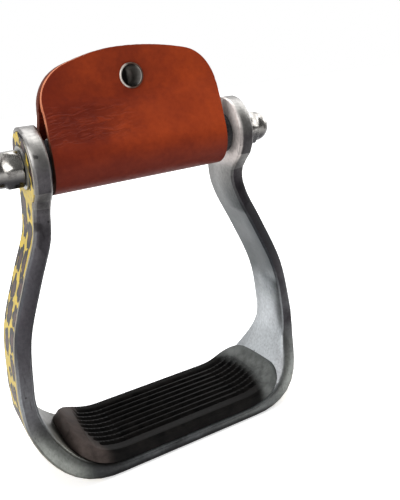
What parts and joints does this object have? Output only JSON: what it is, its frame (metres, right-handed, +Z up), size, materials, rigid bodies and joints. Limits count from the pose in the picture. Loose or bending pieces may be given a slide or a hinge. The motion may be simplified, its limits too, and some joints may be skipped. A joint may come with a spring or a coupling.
{
  "type": "western riding stirrup",
  "caption": "Cast aluminium riding stirrup with printed side panels, a ribbed rubber tread pad and a leather-covered roller on the top bolt.",
  "frame": {"origin": "middle of the underside of the tread", "axes": "+X across the stirrup along the top bolt, -Y to the front that the picture shows, +Z up from the tread to the bolt"},
  "size_m": [0.131, 0.046, 0.1659],
  "materials": {
    "cast_aluminium": "satin polished casting with small scuffs",
    "printed_resin": "leopard spots under clear glossy resin",
    "zinc_steel": "zinc plated",
    "chrome_plate": "bright chrome",
    "black_nylon": "matte",
    "red_brown_leather": "smooth satin leather with light creases",
    "black_rubber": "matte moulded rubber"
  },
  "bodies": {
    "stirrup": {"frame": "cast_aluminium", "overlay_right": "printed_resin", "overlay_left": "printed_resin", "top_rod": "zinc_steel", "flat_washer_right": "zinc_steel", "flat_washer_left": "zinc_steel", "acorn_nut_right": "chrome_plate", "acorn_nut_left": "chrome_plate", "tread_pad": "black_rubber", "pad_plate": "zinc_steel", "pad_screw_1": "zinc_steel", "pad_screw_2": "zinc_steel", "pad_screw_3": "zinc_steel", "pad_screw_4": "zinc_steel"},
    "roller": {"roller_tube": "zinc_steel", "roller_bush_right": "black_nylon", "roller_bush_left": "black_nylon"},
    "cover": {"leather_cover": "red_brown_leather", "hollow_rivet": "chrome_plate", "rivet_washer": "chrome_plate"}
  },
  "joints": [
    {"name": "roller_spin", "type": "hinge", "parent": "stirrup", "child": "roller", "pos_m": [0, -0.0086, 0.1277], "axis": [1, 0, 0], "continuous": true},
    {"name": "cover_swing", "type": "hinge", "parent": "stirrup", "child": "cover", "pos_m": [0, -0.0086, 0.1277], "axis": [1, 0, 0], "continuous": true}
  ]
}
